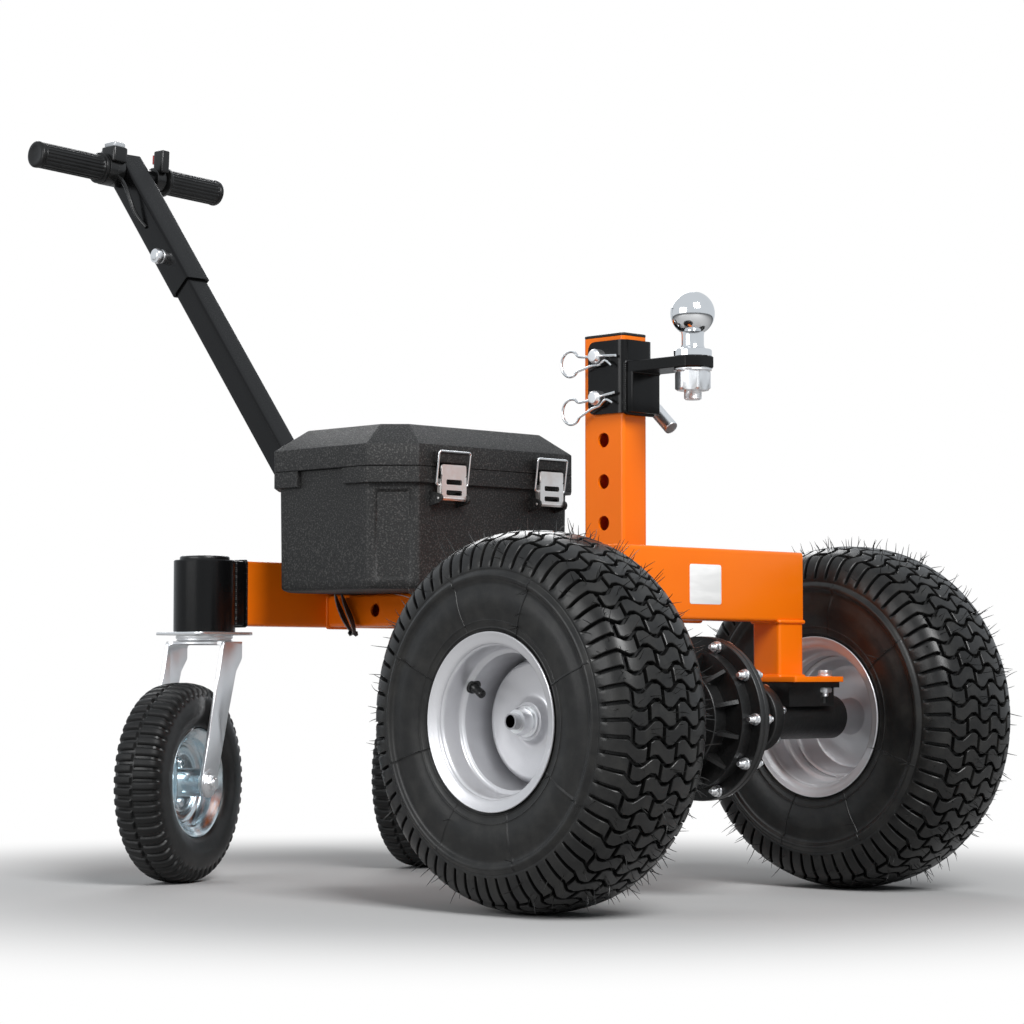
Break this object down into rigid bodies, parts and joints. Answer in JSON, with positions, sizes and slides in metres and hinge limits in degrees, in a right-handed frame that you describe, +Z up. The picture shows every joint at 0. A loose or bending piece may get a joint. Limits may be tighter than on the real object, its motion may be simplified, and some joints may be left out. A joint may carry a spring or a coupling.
{
  "type": "walk-behind electric tug",
  "caption": "Walk-behind electric trailer tug: driven turf wheels, swivel casters, latched battery box, height-set ball hitch on a pinned post and a leaning T-handle.",
  "frame": {"origin": "on the floor below the middle of the drive axle", "axes": "+X forward, from the handle to the hitch ball; +Y to the left side; +Z up"},
  "size_m": [1.2336, 0.6715, 0.9401],
  "materials": {
    "orange_paint": "gloss powder coat",
    "black_steel": "satin powder coat",
    "cast_iron": "black painted casting",
    "gear_steel": "machined",
    "motor_paint": "satin paint",
    "zinc_steel": "bright zinc plate",
    "chrome_steel": "polished chrome",
    "rim_paint": "silver paint",
    "caster_rim_zinc": "blue zinc plate",
    "tyre_rubber": "moulded tread rubber",
    "grip_rubber": "moulded ribs",
    "box_plastic": "pebbled texture",
    "black_plastic": "fine texture",
    "red_plastic": "moulded",
    "battery_case": "moulded",
    "controller_case": "extruded"
  },
  "bodies": {
    "chassis": {"front_crossbeam": "orange_paint", "axle_legs": "orange_paint", "rear_crossbeam": "orange_paint", "spine_tube": "orange_paint", "hitch_post": "orange_paint", "caster_heads": "black_steel", "end_caps": "black_plastic", "frame_bolts": "zinc_steel", "hitch_mount": "black_steel", "hitch_ball": "chrome_steel", "ball_nut": "zinc_steel", "hitch_pins": "zinc_steel", "hitch_clips": "chrome_steel", "axle_housings": "black_steel", "right_gearcase_half": "cast_iron", "left_gearcase_half": "cast_iron", "gearcase_bolts": "zinc_steel", "axle_bearings": "gear_steel", "motor_case": "motor_paint", "caster_plates": "zinc_steel", "handle_base": "black_steel", "handle_lower_tube": "black_steel", "box_body": "box_plastic", "lid_hinge_pin": "zinc_steel", "batteries": "battery_case", "controller": "controller_case"},
    "right_wheel": {"right_axle_shaft": "zinc_steel", "right_drive_rim": "rim_paint", "right_drive_tyre": "tyre_rubber", "right_wheel_nut": "zinc_steel"},
    "left_wheel": {"left_axle_shaft": "zinc_steel", "left_drive_rim": "rim_paint", "left_drive_tyre": "tyre_rubber", "left_wheel_nut": "zinc_steel"},
    "final_drive": {"ring_gear": "gear_steel", "differential_carrier": "gear_steel"},
    "motor": {"motor_rotor": "gear_steel"},
    "right_caster": {"right_caster_fork": "zinc_steel", "right_caster_axle": "zinc_steel"},
    "left_caster": {"left_caster_fork": "zinc_steel", "left_caster_axle": "zinc_steel"},
    "right_caster_wheel": {"right_caster_rim": "caster_rim_zinc", "right_caster_tyre": "tyre_rubber"},
    "left_caster_wheel": {"left_caster_rim": "caster_rim_zinc", "left_caster_tyre": "tyre_rubber"},
    "lid": {"box_lid": "box_plastic"},
    "right_latch": {"right_latch_lever": "zinc_steel"},
    "left_latch": {"left_latch_lever": "zinc_steel"},
    "right_bail": {"right_latch_bail": "chrome_steel"},
    "left_bail": {"left_latch_bail": "chrome_steel"},
    "handle": {"handle_sleeve": "black_steel", "handlebar": "black_steel", "left_grip": "grip_rubber", "throttle_housing": "black_plastic", "direction_switch": "black_plastic", "handle_screws": "zinc_steel", "throttle_cable": "grip_rubber"},
    "throttle": {"throttle_grip": "grip_rubber"},
    "switch": {"switch_button": "red_plastic"}
  },
  "joints": [
    {"name": "right_wheel_spin", "type": "hinge", "parent": "chassis", "child": "right_wheel", "pos_m": [0, -0.25, 0.1905], "axis": [0, 1, 0], "continuous": true},
    {"name": "left_wheel_spin", "type": "hinge", "parent": "chassis", "child": "left_wheel", "pos_m": [0, 0.25, 0.1905], "axis": [0, 1, 0], "continuous": true},
    {"name": "final_drive_spin", "type": "hinge", "parent": "chassis", "child": "final_drive", "pos_m": [0, 0, 0.1905], "axis": [0, 1, 0], "continuous": true},
    {"name": "motor_spin", "type": "hinge", "parent": "chassis", "child": "motor", "pos_m": [-0.08125, 0, 0.1905], "axis": [0, 1, 0], "continuous": true},
    {"name": "right_caster_swivel", "type": "hinge", "parent": "chassis", "child": "right_caster", "pos_m": [-0.605, -0.192, 0.28], "axis": [0, 0, 1], "continuous": true},
    {"name": "right_caster_roll", "type": "hinge", "parent": "right_caster", "child": "right_caster_wheel", "pos_m": [-0.58141, -0.24499, 0.114], "axis": [0.9135, 0.4067, 0], "continuous": true},
    {"name": "left_caster_swivel", "type": "hinge", "parent": "chassis", "child": "left_caster", "pos_m": [-0.605, 0.192, 0.28], "axis": [0, 0, 1], "continuous": true},
    {"name": "left_caster_roll", "type": "hinge", "parent": "left_caster", "child": "left_caster_wheel", "pos_m": [-0.58141, 0.13901, 0.114], "axis": [0.9135, 0.4067, 0], "continuous": true},
    {"name": "lid_hinge", "type": "hinge", "parent": "chassis", "child": "lid", "pos_m": [-0.5625, 0, 0.477], "axis": [0, -1, 0], "range_deg": [0, 100]},
    {"name": "right_latch_lift", "type": "hinge", "parent": "chassis", "child": "right_latch", "pos_m": [-0.303, -0.078, 0.434], "axis": [0, 1, 0], "range_deg": [0, 110]},
    {"name": "right_bail_swing", "type": "hinge", "parent": "right_latch", "child": "right_bail", "pos_m": [-0.305, -0.078, 0.449], "axis": [0, 1, 0], "range_deg": [0, 90]},
    {"name": "left_latch_lift", "type": "hinge", "parent": "chassis", "child": "left_latch", "pos_m": [-0.303, 0.078, 0.434], "axis": [0, 1, 0], "range_deg": [0, 110]},
    {"name": "left_bail_swing", "type": "hinge", "parent": "left_latch", "child": "left_bail", "pos_m": [-0.305, 0.078, 0.449], "axis": [0, 1, 0], "range_deg": [0, 90]},
    {"name": "handle_extend", "type": "slide", "parent": "chassis", "child": "handle", "axis": [-0.6347, 0, 0.7727], "range_m": [0, 0.1]},
    {"name": "throttle_twist", "type": "hinge", "parent": "handle", "child": "throttle", "pos_m": [-1.01696, 0, 0.90369], "axis": [0.0472, -0.9981, 0.0387], "range_deg": [0, 60], "stiffness_Nm_per_rad": 0.2, "springref_deg": -11.46},
    {"name": "switch_press", "type": "slide", "parent": "handle", "child": "switch", "axis": [0.9989, 0.0472, -0.0009], "range_m": [0, 0.0025], "stiffness_N_per_m": 400, "springref_m": -0.001}
  ],
  "couplings": [
    {"joint": "motor_spin", "follows": "final_drive_spin", "ratio": -4}
  ]
}
